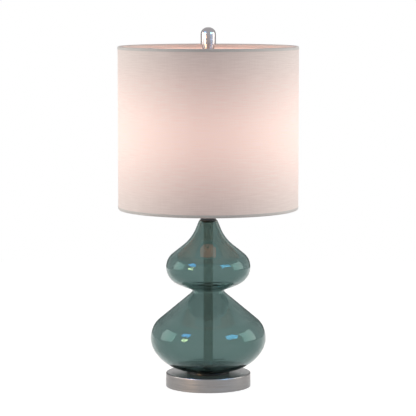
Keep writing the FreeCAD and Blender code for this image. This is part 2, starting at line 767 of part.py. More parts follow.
# ---------------------------------------------------------------- harp
def harp_saddle():
    """Stamped strip under the socket, with an upright pin at each end for a leg of the harp."""
    body = new_body("harp_saddle", SADDLE_SEAT)
    reach, half = "(harp_foot_reach + saddle_end)", "saddle_width / 2"
    strip = new_sketch(body, "strip_outline", "XY_Plane")
    trace(strip, [
        (f"-{reach}", f"-{half}", "saddle_corner_round"),
        (reach, f"-{half}", "saddle_corner_round"),
        (reach, half, "saddle_corner_round"),
        (f"-{reach}", half, "saddle_corner_round"),
    ])
    pad(body, strip, "saddle_thickness", "strip")
    disc = new_sketch(body, "disc_outline", "XY_Plane")
    add_circle(disc, "0", "0", "saddle_disc_radius")
    pad(body, disc, "saddle_thickness", "disc")
    pins = new_sketch(body, "pin_circles", "XY_Plane")
    add_circle(pins, "harp_foot_reach", "0", "harp_wire_radius")
    add_circle(pins, "-harp_foot_reach", "0", "harp_wire_radius")
    pad(body, pins, "(saddle_thickness + saddle_pin_height)", "pins")
    hole = new_sketch(body, "rod_hole", "XY_Plane")
    add_circle(hole, "0", "0", ROD_HOLE)
    cut(body, hole, name="rod_opening")
    return body


def harp():
    """One bent wire that stands on the saddle's pins, with a drilled boss at its top for the swivel."""
    body = new_body("harp", HARP_FOOT)
    route = new_sketch(body, "leg_route", "XZ_Plane")
    trace(route, [
        ("harp_foot_reach", "0"),
        ("harp_foot_reach", "harp_straight", "harp_lower_bend"),
        ("harp_reach", "(harp_straight + (harp_reach - harp_foot_reach) / tan(harp_lean * 1 deg))",
         "harp_middle_bend"),
        ("harp_reach", "harp_rise", "harp_corner_bend"),
        ("0", "harp_rise"),
    ], closed=False)
    section = new_sketch(body, "wire_section", "XY_Plane")
    add_circle(section, "harp_foot_reach", "0", "harp_wire_radius")
    leg = body.newObject("PartDesign::AdditivePipe", "leg")
    leg.Profile = section
    leg.Spine = route
    other_leg = body.newObject("PartDesign::Mirrored", "other_leg")
    other_leg.Originals = [leg]
    other_leg.MirrorPlane = (origin_part(body, "YZ_Plane"), [""])
    body.Tip = other_leg
    boss = new_sketch(body, "boss_circle", "XY_Plane", "(harp_rise - harp_boss_height / 2)")
    add_circle(boss, "0", "0", "harp_boss_radius")
    pad(body, boss, "harp_boss_height", "boss")
    bore = new_sketch(body, "swivel_bore", "XY_Plane")
    add_circle(bore, "0", "0", "(swivel_pin_radius + slip_fit)")
    cut(body, bore, name="swivel_opening")
    return body


def harp_ferrule(side, across):
    """Sleeve that slides down over a leg's foot and the saddle's pin to lock them in line."""
    bead = "(ferrule_radius + ferrule_bead)"
    return turned(f"harp_ferrule_{side}", [
        (FERRULE_BORE, "0"),
        (bead, "0", "ferrule_round"),
        (bead, "(2 * ferrule_bead)", "ferrule_round"),
        ("ferrule_radius", "(2 * ferrule_bead)"),
        ("ferrule_radius", "ferrule_height", "ferrule_round"),
        (FERRULE_BORE, "ferrule_height"),
    ], SADDLE_TOP, across)


def shade_seat():
    """Swivel riveted through the harp's boss: a waisted seat for the shade's hub and the finial's stud."""
    seat = "(rivet_height + rivet_gap + harp_boss_height)"
    seat_top = f"({seat} + {SEAT_HEIGHT})"
    stud_top = f"({seat_top} + stud_length)"
    return turned("shade_seat", [
        ("0", "0"),
        ("rivet_radius", "0"),
        ("rivet_radius", "rivet_height"),
        ("swivel_pin_radius", "rivet_height"),
        ("swivel_pin_radius", seat),
        ("seat_radius", seat),
        ("seat_radius", f"({seat} + seat_plate)"),
        ("seat_waist_radius", f"({seat} + seat_plate)"),
        ("seat_waist_radius", f"({seat} + seat_plate + seat_waist_height)"),
        ("seat_radius", f"({seat} + seat_plate + seat_waist_height)"),
        ("seat_radius", seat_top),
        ("stud_radius", seat_top),
        ("stud_radius", f"({stud_top} - rod_chamfer)"),
        ("(stud_radius - rod_chamfer)", stud_top),
        ("0", stud_top),
    ], f"({HARP_BOSS_TOP} - {seat})")


# ---------------------------------------------------------------- socket
def socket_cap():
    """Lower shell of the socket: a threaded collar that flares into a cup."""
    floor = "(collar_height + socket_wall)"
    top = "(collar_height + cap_cup_height)"
    return turned("socket_cap", [
        (ROD_THREAD, "0"),
        ("collar_radius", "0"),
        ("collar_radius", "collar_height"),
        (CAP_CUP_RADIUS, "collar_height", "cap_cup_round"),
        (CAP_CUP_RADIUS, top),
        (CAP_CUP_BORE, top),
        (CAP_CUP_BORE, floor, "(cap_cup_round - socket_wall)"),
        (ROD_THREAD, floor),
    ], SADDLE_TOP)


def stem_hole(body, height, radius):
    """Cut the switch stem's way through the front of a socket piece."""
    hole = new_sketch(body, "stem_circle", "XZ_Plane")
    add_circle(hole, "0", height, radius)
    cut(body, hole, "socket_shell_radius", "stem_way", reverse=True)
    return body


def socket_shell():
    shell = ring("socket_shell", SHELL_BORE, "socket_shell_radius", "socket_shell_height", SOCKET_SHELL_FOOT)
    return stem_hole(shell, "(socket_floor + switch_height)", STEM_WAY)


def socket_liner():
    height = "(socket_shell_height + liner_proud)"
    liner = ring("socket_liner", LINER_BORE, LINER_RADIUS, height, SOCKET_SHELL_FOOT)
    return stem_hole(liner, "(socket_floor + switch_height)", STEM_WAY)


def socket_floor_disc():
    """Fibre disc under the socket's block, with a hole for the leads."""
    return ring("socket_floor_disc", "rod_bore_radius", BLOCK_RADIUS, "socket_floor", SOCKET_SHELL_FOOT)


def socket_block():
    """Moulded block that carries the screw shell, the switch stem and two terminal screws."""
    bore = "(screw_shell_radius + liner_gap)"
    top = "(socket_block_height + block_sleeve_height)"
    body = turned("socket_block", [
        ("0", "0"),
        (BLOCK_RADIUS, "0"),
        (BLOCK_RADIUS, top),
        (bore, top),
        (bore, "socket_block_height"),
        ("0", "socket_block_height"),
    ], SOCKET_BLOCK_FOOT)
    stem_hole(body, "switch_height", "(switch_stem_radius + slip_fit)")
    recess = new_sketch(body, "terminal_recess_circle", "YZ_Plane", f"({BLOCK_RADIUS} - {TERMINAL_RECESS})")
    add_circle(recess, "0", "terminal_height", "(terminal_head_radius + terminal_room)")
    recess_cut = cut(body, recess, TERMINAL_RECESS, "terminal_recess", reverse=True)
    shank = new_sketch(body, "terminal_shank_circle", "YZ_Plane", f"({BLOCK_RADIUS} - {TERMINAL_RECESS})")
    add_circle(shank, "0", "terminal_height", "(terminal_shank_radius + slip_fit)")
    shank_cut = cut(body, shank, "(terminal_shank_length + terminal_room)", "terminal_bore")
    pattern(body, [recess_cut, shank_cut], "terminals", "terminal_places")
    return body


def terminal_screws():
    """The block's screws, one on each side, each a head and a shank."""
    screws = []
    for index in range(SIZES["terminals"]):
        facing = index * 360 / SIZES["terminals"]
        head = f"({BLOCK_RADIUS} - {TERMINAL_RECESS})"
        shank = doc.addObject("Part::Cylinder", f"terminal_shank_{index}")
        shank.setExpression("Radius", linked("terminal_shank_radius"))
        shank.setExpression("Height", linked("terminal_shank_length"))
        cap = doc.addObject("Part::Cylinder", f"terminal_head_{index}")
        cap.setExpression("Radius", linked("terminal_head_radius"))
        cap.setExpression("Height", linked("terminal_head_height"))
        for piece, start in ((shank, f"({head} - terminal_shank_length)"), (cap, head)):
            outward = Rotation(Vector(0, 0, 1), facing) * Rotation(Vector(0, 1, 0), 90)
            piece.Placement = Placement(Vector(), outward)
            place(piece, f"({SOCKET_BLOCK_FOOT} + terminal_height)",
                  across=f"({start} * cos({facing} deg))", along=f"({start} * sin({facing} deg))")
        screw = doc.addObject("Part::Fuse", f"terminal_screw_{index}")
        screw.Base = shank
        screw.Tool = cap
        screws.append(screw)
    group = doc.addObject("Part::Compound", "terminal_screws")
    group.Links = screws
    return group


def ridges(root, crest, start, height, pitch):
    """Corners of a row of thread ridges that climb from start, as rings of one pitch each."""
    count = int(worth(height) / worth(pitch))
    corners = [(root, start)]
    for index in range(count):
        corners.append((crest, f"({start} + {pitch} * {index + 0.5})"))
        corners.append((root, f"({start} + {pitch} * {index + 1})"))
    return corners


def socket_screw_shell():
    """Rolled screw shell: its thread stands out as ridges all the way up."""
    root, bore_root = "(screw_shell_radius - thread_depth)", f"({SCREW_SHELL_BORE} - thread_depth)"
    outside = ridges(root, "screw_shell_radius", "thread_pitch / 2", "screw_shell_height", "thread_pitch")
    inside = ridges(bore_root, SCREW_SHELL_BORE, "thread_pitch / 2", "screw_shell_height", "thread_pitch")
    top = f"(thread_pitch * {len(outside) // 2 + 1})"
    return turned("socket_screw_shell", [
        (bore_root, "0"), (root, "0"), *outside, (root, top), (bore_root, top), *reversed(inside),
    ], SCREW_SHELL_FOOT)


def socket_contact():
    """Centre contact that the bulb's tip stands on."""
    return turned("socket_contact", [
        ("0", "0"),
        ("contact_radius", "0"),
        ("contact_radius", "contact_height", "contact_round"),
        ("0", "contact_height"),
    ], SCREW_SHELL_FOOT)


# ---------------------------------------------------------------- rotary switch
def facing_front(body, along):
    """Lay a piece that was turned about Z along the switch's own axis, pointing to the front."""
    body.Placement = Placement(Vector(), Rotation(Vector(1, 0, 0), 90))
    place(body, f"({SOCKET_BLOCK_FOOT} + switch_height)", along=along)
    return body


def switch_stem():
    start = f"({BLOCK_RADIUS} - switch_stem_depth)"
    length = f"({KNOB_FACE} + knob_grip - {start})"
    return facing_front(turned("switch_stem", [
        ("0", "0"),
        ("switch_stem_radius", "0"),
        ("switch_stem_radius", length),
        ("0", length),
    ]), f"-{start}")


def switch_knob():
    """Fluted turn knob on the end of the stem."""
    bore = "(switch_stem_radius + slip_fit)"
    body = turned("switch_knob", [
        (bore, "0"),
        ("knob_radius", "0", "knob_round / 2"),
        ("knob_radius", "knob_length", "knob_round"),
        ("0", "knob_length"),
        ("0", "knob_grip"),
        (bore, "knob_grip"),
    ])
    flute = new_sketch(body, "flute_circle", "XY_Plane")
    add_circle(flute, "knob_radius", "0", "flute_radius")
    first = cut(body, flute, name="flute")
    pattern(body, [first], "knob_flutes", "flutes")
    return facing_front(body, f"-{KNOB_FACE}")


# ---------------------------------------------------------------- bulb
def bulb_envelope():
    """Pear-shaped frosted glass, hollow and open at its neck."""
    body = new_body("bulb_envelope", BULB_GLASS_FOOT)
    outline = new_sketch(body, "pear_outline", "XZ_Plane")
    trace(outline, [
        ("0", "0"),
        ("bulb_neck_radius", "0"),
        ("bulb_neck_radius", "bulb_neck_height", "bulb_neck_bend"),
        ("bulb_radius", "bulb_widest_height", "bulb_side_round"),
        ("bulb_radius", "bulb_glass_height", "bulb_crown_round"),
        ("0", "bulb_glass_height"),
    ])
    pear = turn(body, outline, "pear")
    doc.recompute()
    opening = min(range(len(pear.Shape.Faces)), key=lambda index: pear.Shape.Faces[index].CenterOfMass.z)
    hollow = body.newObject("PartDesign::Thickness", "hollow")
    hollow.Base = (pear, [f"Face{opening + 1}"])
    hollow.setExpression("Value", linked("bulb_wall"))
    hollow.Reversed = True
    hollow.Join = "Intersection"
    return body


def bulb_screw_base():
    """Screw base: a thin cup, threaded outside."""
    root = f"({BULB_BASE_RADIUS} - thread_depth)"
    bore = f"({root} - bulb_base_wall)"
    threaded = "(bulb_base_height - thread_pitch)"
    outside = ridges(root, BULB_BASE_RADIUS, "thread_pitch / 2", threaded, "thread_pitch")
    return turned("bulb_screw_base", [
        ("0", "0"),
        (root, "0"),
        *outside,
        (root, "bulb_base_height"),
        (bore, "bulb_base_height"),
        (bore, "bulb_base_wall"),
        ("0", "bulb_base_wall"),
    ], BULB_BASE_FOOT)


def bulb_insulator():
    shoulder = f"({BULB_BASE_RADIUS} - thread_depth - bulb_shoulder)"
    return turned("bulb_insulator", [
        ("0", "0"),
        ("bulb_tip_radius", "0"),
        (shoulder, "bulb_insulator_height"),
        ("0", "bulb_insulator_height"),
    ], f"({BULB_TIP} + bulb_tip_height)")


def bulb_tip():
    return turned("bulb_tip", [
        ("0", "0"),
        ("bulb_tip_radius", "0", "bulb_tip_round"),
        ("bulb_tip_radius", "bulb_tip_height"),
        ("0", "bulb_tip_height"),
    ], BULB_TIP)


# ---------------------------------------------------------------- shade
def shade_drum():
    """Linen drum and the stiff liner that it is glued to, between the two hems."""
    foot = f"({SHADE_FOOT} + hem_height)"
    height = "(shade_height - 2 * hem_height)"
    return [
        ring("shade_fabric", FABRIC_BORE, "shade_radius", height, foot),
        ring("shade_liner", SHADE_BORE, FABRIC_BORE, height, foot),
    ]


def shade_hem(name, up, flipped):
    """Strip of linen rolled over the rim wire: a channel that opens away from the rim."""
    rim = "hem_inner_height"
    channel_end = "(hem_inner_height - hem_wall)"
    outer_end = "(hem_inner_height - hem_height)"
    corners = [
        (HEM_BORE, "0"),
        (HEM_INNER_CHANNEL, "0"),
        (HEM_INNER_CHANNEL, channel_end),
        (HEM_CHANNEL, channel_end),
        (HEM_CHANNEL, outer_end),
        (HEM_RADIUS, outer_end),
        (HEM_RADIUS, rim, "hem_round"),
        (HEM_BORE, rim, "hem_round"),
    ]
    if flipped:
        corners = [(across, f"({rim} - {height})", *rounding) for across, height, *rounding in corners]
    return turned(name, corners, up)


def rim_wire(name, up):
    wire = doc.addObject("Part::Torus", name)
    wire.setExpression("Radius1", linked(f"({HEM_CHANNEL} - liner_gap - rim_wire_radius)"))
    wire.setExpression("Radius2", linked("rim_wire_radius"))
    place(wire, up)
    return wire


def shade_rims():
    """Hem and wire of each rim."""
    inset = "(hem_wall + liner_gap + rim_wire_radius)"
    return [
        shade_hem("shade_top_hem", f"({SHADE_TOP} - hem_inner_height)", flipped=False),
        rim_wire("shade_top_wire", f"({SHADE_TOP} - {inset})"),
        shade_hem("shade_bottom_hem", SHADE_FOOT, flipped=True),
        rim_wire("shade_bottom_wire", f"({SHADE_FOOT} + {inset})"),
    ]


def shade_fitter():
    """Welded wire fitter inside the shade: a drilled hub, three spokes and a ring against the liner."""
    body = new_body("shade_fitter", HUB_SEAT)
    hub = new_sketch(body, "hub_circles", "XY_Plane")
    add_circle(hub, "0", "0", "hub_radius")
    add_circle(hub, "0", "0", "(stud_radius + body_gap)")
    pad(body, hub, "hub_thickness", "hub")
    spoke = new_sketch(body, "spoke_section", "XZ_Plane", "(hub_radius - fitter_wire_radius)")
    add_circle(spoke, "0", "hub_thickness / 2", "fitter_wire_radius")
    first = pad(body, spoke, f"({FITTER_RING_RADIUS} - hub_radius + fitter_wire_radius)", "spoke")
    pattern(body, [first], "fitter_arms", "spokes")
    rim = new_sketch(body, "ring_section", "XZ_Plane")
    add_circle(rim, FITTER_RING_RADIUS, "hub_thickness / 2", "fitter_wire_radius")
    turn(body, rim, "fitter_ring")
    return body


def finial():
    """Bullet finial, blind-tapped for the swivel's stud, with a narrower collar on the hub."""
    bore = "(stud_radius + slip_fit)"
    bore_end = "(stud_length - hub_thickness + finial_bore_spare)"
    return turned("finial", [
        (bore, "0"),
        ("finial_collar_radius", "0"),
        ("finial_collar_radius", "finial_collar_height"),
        ("finial_radius", "finial_collar_height", "finial_edge_round"),
        ("finial_radius", "finial_height", "finial_dome_round"),
        ("0", "finial_height"),
        ("0", bore_end),
        (bore, bore_end),
    ], HUB_TOP)


# ---------------------------------------------------------------- assembly, checks and files
def lamp():
    """Every piece of the lamp, from the table up."""
    return [
        base_felt(), base_shell(), base_weight(), cord_bushing(), threaded_rod(), *rod_fasteners(),
        glass_seat(), foot_gasket(), glass_body(), rod_cover(), top_gasket(), neck_cap(), neck_nut(),
        neck_spacer(), harp_saddle(), harp(), harp_ferrule("left", "-harp_foot_reach"),
        harp_ferrule("right", "harp_foot_reach"), shade_seat(), socket_cap(), socket_shell(), socket_liner(),
        socket_floor_disc(), socket_block(), terminal_screws(), socket_screw_shell(), socket_contact(),
        switch_stem(), switch_knob(), bulb_envelope(), bulb_screw_base(), bulb_insulator(), bulb_tip(),
        *shade_drum(), *shade_rims(), shade_fitter(), finial(),
    ]


def check(pieces):
    """Stop if anything in the document failed or a piece isn't a sound solid."""
    for item in doc.Objects:
        if {"Invalid", "Error"} & set(item.State):
            raise RuntimeError(f"{item.Label} failed: {item.State}")
    for piece in pieces:
        if piece.Shape.isNull() or not piece.Shape.isValid() or not piece.Shape.Solids:
            raise RuntimeError(f"{piece.Label} has no valid solid")
        print(f"{piece.Label:22} {len(piece.Shape.Solids)} solid(s) {piece.Shape.Volume / 1000:9.2f} cm3")


pieces = lamp()
doc.recompute()
check(pieces)
os.makedirs("parts", exist_ok=True)
for piece in pieces:
    piece.Shape.exportStep(f"parts/{piece.Label}.step")
print(f"{len(pieces)} pieces, {worth(HUB_TOP + ' + finial_height'):.1f} mm tall")
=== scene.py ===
# %% [markdown]
# # A double gourd table lamp, dressed for its picture
# The lamp's exact solids come in first as a fixed frame: every piece is already in its place, in metres,
# with +Z up, +X to the right and -Y to the front. This lesson gives each piece its finish, makes the cloth
# pieces again as cloth, and then sets up the camera and a small studio. Read it from the top: each step
# explains the real thing first.

# %% Load the fixed frame
import json
import math

import bpy
import numpy as np
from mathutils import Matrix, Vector


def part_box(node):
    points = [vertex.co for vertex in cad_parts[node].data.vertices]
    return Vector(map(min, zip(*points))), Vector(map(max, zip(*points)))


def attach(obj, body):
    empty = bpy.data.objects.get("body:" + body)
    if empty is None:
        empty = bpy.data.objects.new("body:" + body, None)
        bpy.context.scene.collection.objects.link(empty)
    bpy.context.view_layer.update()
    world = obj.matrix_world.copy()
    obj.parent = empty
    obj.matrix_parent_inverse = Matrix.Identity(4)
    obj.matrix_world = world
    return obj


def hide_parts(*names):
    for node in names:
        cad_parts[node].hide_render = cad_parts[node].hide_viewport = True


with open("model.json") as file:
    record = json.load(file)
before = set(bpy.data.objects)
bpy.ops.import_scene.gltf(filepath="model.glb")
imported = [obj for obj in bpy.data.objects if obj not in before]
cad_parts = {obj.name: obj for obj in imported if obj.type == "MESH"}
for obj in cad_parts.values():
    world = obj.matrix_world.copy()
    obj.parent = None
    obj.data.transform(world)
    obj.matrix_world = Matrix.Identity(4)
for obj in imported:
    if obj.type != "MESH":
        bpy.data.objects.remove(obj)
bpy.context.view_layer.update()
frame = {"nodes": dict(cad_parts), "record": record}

nodes = frame["nodes"]
slot_of = {part["node"]: part["material_slot"] for part in frame["record"]["subparts"]}

# %% [markdown]
# ## Three small helpers for materials
# A colour in a chart is written for a screen (sRGB), while a shader adds up light, so each hex colour is
# turned to linear once, here. A material is a tree of nodes, and one function adds any node with its
# settings and its links, so that each recipe below reads from top to bottom. Every finish starts from the
# same principled shader.

# %% Colours, nodes and materials
MM = 0.001
PRINCIPLED = "Principled BSDF"


def linear(colour):
    """Linear RGBA of an sRGB hex colour: below 0.04045 a straight line, above it a power of 2.4."""
    shares = [int(colour[i : i + 2], 16) / 255 for i in (1, 3, 5)]
    return (*[s / 12.92 if s <= 0.04045 else ((s + 0.055) / 1.055) ** 2.4 for s in shares], 1.0)


def add(tree, kind, inputs=None, **settings):
    """One node: settings are its own choices, and each input is a number, a colour or an output to link."""
    node = tree.nodes.new(kind)
    for name, value in settings.items():
        setattr(node, name, value)
    for name, value in (inputs or {}).items():
        if isinstance(value, bpy.types.NodeSocket):
            tree.links.new(value, node.inputs[name])
        else:
            node.inputs[name].default_value = value
    return node


def material(name, **inputs):
    """A material and its tree, with inputs for its principled shader: Base_Color="#RRGGBB", Roughness=0.5."""
    made = bpy.data.materials.new(name)
    made.use_nodes = True
    shader = made.node_tree.nodes[PRINCIPLED]
    for key, value in inputs.items():
        value = linear(value) if isinstance(value, str) else value
        shader.inputs[key.replace("_", " ")].default_value = value
    return made, made.node_tree


print(f"a screen's mid grey #808080 sends back {linear('#808080')[0]:.2f} of the light")

# %% [markdown]
# ## Patterns that several finishes share
# Real metal is never even. Fine waves left by tools, felt and rollers show as soft changes in the reflection,
# and specks of dust or grain show as small changes in gloss. Both come from noise on the object's own
# coordinates, in metres, so a size in millimetres becomes a scale: noise with features of about d
# millimetres has a scale of 1000 / d. A pattern does three things to a surface: it varies its gloss, it
# varies its colour, and it gives it a relief. Real specks, pores and fibres measure a tenth of a millimetre
# or less. Such fine ones can't show, so the recipes below draw them 0.6 to 3 mm across.

# %% Grain, and what it does to a surface
COLOUR_A, COLOUR_B, COLOUR_OUT = 6, 7, 2  # the colour sockets of a Mix node


def grain(tree, size, vector=None, stretch=(1, 1, 1), detail=2.0, roughness=0.5):
    """Noise with features of about size millimetres, drawn out along an axis where stretch is below 1."""
    if vector is None:
        vector = add(tree, "ShaderNodeTexCoord").outputs["Object"]
    mapping = add(tree, "ShaderNodeMapping", {"Vector": vector, "Scale": stretch})
    texture = add(
        tree, "ShaderNodeTexNoise",
        {"Vector": mapping.outputs[0], "Scale": 1 / (size * MM), "Detail": detail, "Roughness": roughness},
    )
    return texture.outputs["Fac"]


def vary(tree, quality, pattern, low, high, start=0.3, end=0.7):
    """The shader's quality goes from low to high, numbers or hex colours, while pattern goes start to end."""
    coloured = isinstance(low, str)
    limits = (0.0, 1.0) if coloured else (low, high)
    varied = add(
        tree, "ShaderNodeMapRange",
        {"Value": pattern, "From Min": start, "From Max": end, "To Min": limits[0], "To Max": limits[1]},
    ).outputs[0]
    if coloured:
        ends = {"Factor": varied, COLOUR_A: linear(low), COLOUR_B: linear(high)}
        varied = add(tree, "ShaderNodeMix", ends, data_type="RGBA").outputs[COLOUR_OUT]
    tree.links.new(varied, tree.nodes[PRINCIPLED].inputs[quality])


def relief(tree, height, depth, strength=0.5):
    """Hollows and ridges: height from 0 to 1 stands for depth millimetres, shown with this strength."""
    bump = add(tree, "ShaderNodeBump", {"Height": height, "Distance": depth * MM, "Strength": strength})
    tree.links.new(bump.outputs[0], tree.nodes[PRINCIPLED].inputs["Normal"])


print(f"a grain of 2 mm has a noise scale of {1 / (2 * MM):.0f}")

# %% [markdown]
# ## Brushed nickel
# The base is a spun steel cover, plated with nickel and brushed while it turns in a lathe. The brush leaves
# fine lines that run round the side and in rings on the top face, so a light spreads up and down but stays
# narrow along the lines. One pattern makes both: noise that changes quickly with the height plus the distance
# from the axis, and slowly round the lamp. Real brush lines are 0.1 mm apart. Here they are 1.1 mm, because
# finer ones can't show. Bright nickel starts from about #D0CCC4. This colour is darker, matched to the darker
# grey of the picture: it is painted shade, standing for a darker room mirrored in the metal than the white
# world that it mirrors here.

# %% Brushed nickel
BRUSH_LINES = 1.1


def lathe_lines(tree, size, along=0.02):
    """Noise in rings round the lamp's axis, on (along x, along y, height + distance from the axis)."""
    place = add(tree, "ShaderNodeTexCoord").outputs["Object"]
    parts = add(tree, "ShaderNodeSeparateXYZ", {"Vector": place})
    flat = add(tree, "ShaderNodeCombineXYZ", {"X": parts.outputs[0], "Y": parts.outputs[1]})
    radius = add(tree, "ShaderNodeVectorMath", {0: flat.outputs[0]}, operation="LENGTH")
    across = add(tree, "ShaderNodeMath", {0: radius.outputs["Value"], 1: parts.outputs[2]}, operation="ADD")
    rings = add(
        tree, "ShaderNodeCombineXYZ",
        {"X": parts.outputs[0], "Y": parts.outputs[1], "Z": across.outputs[0]},
    )
    return grain(tree, size, rings.outputs[0], (along, along, 1), detail=4.0, roughness=0.6)


# painted shade: the nickel's colours are darker than its own, for a darker room mirrored in it
brushed_nickel_with_painted_shade, tree = material("brushed_nickel_with_painted_shade", Metallic=1.0, Roughness=0.34, Base_Color="#838180")
lines = lathe_lines(tree, BRUSH_LINES)
vary(tree, "Roughness", lines, 0.24, 0.44)
vary(tree, "Base Color", lines, "#767473", "#908E8D", 0.0, 1.0)
relief(tree, lines, 0.03)
print(f"brushed nickel: lines {BRUSH_LINES} mm apart")

# %% [markdown]
# ## Satin and polished nickel
# The finial and the small parts under the shade are turned, and buffed smooth before plating, so they show
# clear bands of light with soft edges. The satin nickel of the finial and the shade's seat has a darker grey
# than bright nickel: painted shade, for a darker room mirrored in it. The harp, its saddle and ferrules are
# bent and pressed parts with a duller plating. The neck's cap is polished chrome, coloured near black: a
# painted dark reflection, for the dark surroundings that it mirrors. The disc that seats the glass is steel
# with a black oxide finish, which keeps the foot of the glass dark. The tube inside the glass is polished
# steel. Only the tone, the roughness and the faint waves of the buffing wheel differ, so one function makes
# all.

# %% Nickel and steel for turned and bent parts
SPECKS = 0.8


def plated(name, colour, rough, wave_size, wave_depth):
    """Soft waves, wave_size by wave_depth millimetres, and gloss that varies by a fifth to a quarter."""
    made, tree = material(name, Metallic=1.0, Roughness=rough, Base_Color=colour)
    vary(tree, "Roughness", grain(tree, SPECKS, detail=3.0), rough * 0.8, rough * 1.25)
    relief(tree, grain(tree, wave_size, detail=1.0), wave_depth, 0.4)
    return made


# painted shade: satin nickel in a darker grey, for a darker room mirrored in it
satin_nickel_with_painted_shade = plated("satin_nickel_with_painted_shade", "#9C989A", 0.22, 6.0, 0.03)
polished_nickel = plated("polished_nickel", "#D6D3D0", 0.08, 9.0, 0.02)
harp_nickel = plated("plated_harp_wire", "#C4C1BD", 0.26, 4.0, 0.04)
black_oxide = plated("black_oxide_steel", "#303234", 0.3, 5.0, 0.02)
# painted dark reflection: the chrome cap coloured near black
chrome_painted_dark = plated("chrome_with_painted_dark_reflection", "#3A3B3D", 0.08, 9.0, 0.02)
cover_tube = plated("polished_steel_tube", "#B9B8B2", 0.05, 12.0, 0.02)
print("plated finishes: satin, polished, harp wire, black oxide, black nickel and the tube")

# %% [markdown]
# ## Blown glass
# The body is soda-lime glass, coloured teal-grey and blown with a 4 mm wall. Light that crosses more glass
# comes out darker, which draws the dark lines at the outline and at the waist. The colour could all be in
# the volume, as it is in real glass, but then the cones and the waist came out too dark. So only a part is
# in the volume, which absorbs more of the red, and is given for one metre of glass. The larger part lies in
# the surface, as in a thin coloured layer over clear glass, so that slanted and upright walls look alike.
# Together the two walls pass about a seventh of the green light and a tenth of the red. An index of 1.33,
# below the usual 1.5, keeps the mirror images of the lit shade as faint as they are in the picture. Blowing
# leaves slow waves, far below a tenth of a millimetre high.

# %% Blown glass
BLOWN_WAVES = 45.0
teal_glass, tree = material(
    "teal_grey_blown_glass", Base_Color="#B2BFBE", Roughness=0.0, IOR=1.33, Transmission_Weight=1.0,
    Specular_Tint="#A8F2EC",
)
depth_of_colour = add(tree, "ShaderNodeVolumeAbsorption", {"Color": linear("#007C73"), "Density": 85.0})
tree.links.new(depth_of_colour.outputs[0], tree.nodes["Material Output"].inputs["Volume"])
relief(tree, grain(tree, BLOWN_WAVES, detail=0.0), 0.08, 0.15)
print(f"blown glass: waves {BLOWN_WAVES:.0f} mm long")

# %% [markdown]
# ## Hidden metals
# Under the shade and under the base are the parts that make it a lamp: a brass socket, zinc plated
# fasteners, the bulb's aluminium screw base and a painted iron weight. They get the same care, since a lamp
# is also seen from above and below. Zinc shows a spangle of small crystals, spun brass the lines of its
# lathe, rolled aluminium short streaks up its wall, and iron the grains of its sand mould under the paint.
# Each needs one or two patterns at the size of those marks, so their recipes are written out one by one.

# %% Zinc, brass, aluminium and cast iron
zinc_plate, tree = material("zinc_plated_steel", Metallic=1.0, Roughness=0.38, Base_Color="#BFC2C3")
spangle = grain(tree, 2.5, detail=3.0)
vary(tree, "Base Color", spangle, "#B4B8BB", "#CBCBC4")
vary(tree, "Roughness", spangle, 0.3, 0.46)
relief(tree, grain(tree, 0.6), 0.02, 0.4)

spun_brass, tree = material("spun_brass", Metallic=1.0, Roughness=0.27, Base_Color="#D9B36C")
rings = lathe_lines(tree, 0.9, 0.05)
vary(tree, "Base Color", rings, "#CFA75F", "#E2C07E")
vary(tree, "Roughness", grain(tree, 7.0), 0.2, 0.36)
relief(tree, rings, 0.02, 0.4)

rolled_aluminium, tree = material("rolled_aluminium", Metallic=1.0, Roughness=0.3, Base_Color="#D4D5D6")
vary(tree, "Roughness", grain(tree, 1.2, stretch=(1, 1, 0.2)), 0.24, 0.4)
relief(tree, grain(tree, 1.5), 0.02, 0.4)

cast_iron, tree = material("painted_cast_iron", Roughness=0.6, Base_Color="#2A2A2B")
sand = grain(tree, 1.4, detail=5.0, roughness=0.65)
vary(tree, "Base Color", sand, "#232325", "#3A3A3A")
vary(tree, "Roughness", sand, 0.5, 0.75)
relief(tree, sand, 0.35, 0.8)
print("hidden metals: zinc plate, spun brass, rolled aluminium and painted iron")

# %% [markdown]
# ## Plastics, rubber, fibre and paint
# These all have one fine skin, which differs only in its size and gloss: a moulded part takes it from the
# polish of its mould, rubber from its filler, fibre board from its pressed layers, and painted wire from the
# way paint draws together as it dries. The black glass in the bulb's foot is nearly smooth, as it was poured
# hot. So one function makes them all, from the size of the skin and its depth in millimetres.

# %% Plastic, rubber, fibre and painted wire
def moulded(name, colour, rough, size, depth, spread=0.1, **more):
    """A non-metal with a skin, size by depth millimetres, and gloss that varies by spread each way."""
    made, tree = material(name, Roughness=rough, Base_Color=colour, **more)
    skin = grain(tree, size, detail=3.0)
    vary(tree, "Roughness", skin, rough - spread, rough + spread)
    relief(tree, skin, depth)
    return made


black_plastic = moulded("black_moulded_phenolic", "#17181A", 0.36, 0.7, 0.03)
black_rubber = moulded("black_rubber", "#1B1C1C", 0.62, 1.0, 0.05)
fibre_board = moulded("insulating_fibre", "#8A7458", 0.8, 1.6, 0.08)
white_paint = moulded("white_painted_wire", "#EDECEA", 0.38, 2.2, 0.04, Coat_Weight=0.3, Coat_Roughness=0.2)
black_glass = moulded("black_glass_insulator", "#0C0C0E", 0.14, 3.0, 0.02, 0.05)
print("moulded and coated finishes: phenolic, rubber, fibre, white paint and black glass")

# %% [markdown]
# ## The bulb and its glow
# The lit bulb is frosted glass, so it shines evenly, a little warmer than daylight. Its light passes through
# the drum, and this is what makes the lamp look lit: the cloth glows warm beside the bulb and fades towards
# both rims, since the light comes from further off and meets the cloth at a slant. A strong light inside two
# thin layers could do this, but takes long to render without specks, so this light is painted on: the cloth
# and the liner glow by themselves. At a height h above or below the brightest ring the light falls as
# 1 / (1 + (h / r)^2)^1.5.
# The shader works that out from the height, with a reach r of 120 mm. The brightest ring lies at 400 mm on
# the cloth and at 440 mm on the liner, which match the picture. Where the cloth is double at its lap, a
# fifth of the light is lost.

